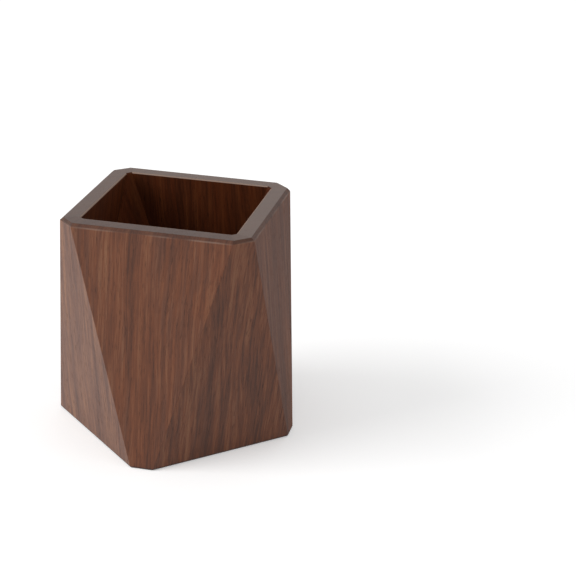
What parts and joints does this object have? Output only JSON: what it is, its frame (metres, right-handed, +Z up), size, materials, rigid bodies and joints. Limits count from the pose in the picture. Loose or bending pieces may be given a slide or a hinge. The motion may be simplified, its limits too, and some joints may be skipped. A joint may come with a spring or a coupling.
{
  "type": "pen holder",
  "caption": "Faceted walnut pen holder: square mouth over a turned square foot, flat mitred boards with cut corners, bevelled rim, deep open cavity and a let-in bottom.",
  "frame": {"origin": "on the floor, under the middle of the mouth", "axes": "+Z up along the holder's axis, -Y out of the front side board, +X to its right"},
  "size_m": [0.1036, 0.1036, 0.1],
  "materials": {
    "walnut_boards": "satin oiled walnut, grain up the boards",
    "walnut_panel": "satin oiled walnut, grain across the panel"
  },
  "bodies": {
    "root": {"side_board_front": "walnut_boards", "side_board_right": "walnut_boards", "side_board_back": "walnut_boards", "side_board_left": "walnut_boards", "corner_board_front_left": "walnut_boards", "corner_board_front_right": "walnut_boards", "corner_board_back_right": "walnut_boards", "corner_board_back_left": "walnut_boards", "base_panel": "walnut_panel"}
  },
  "joints": []
}
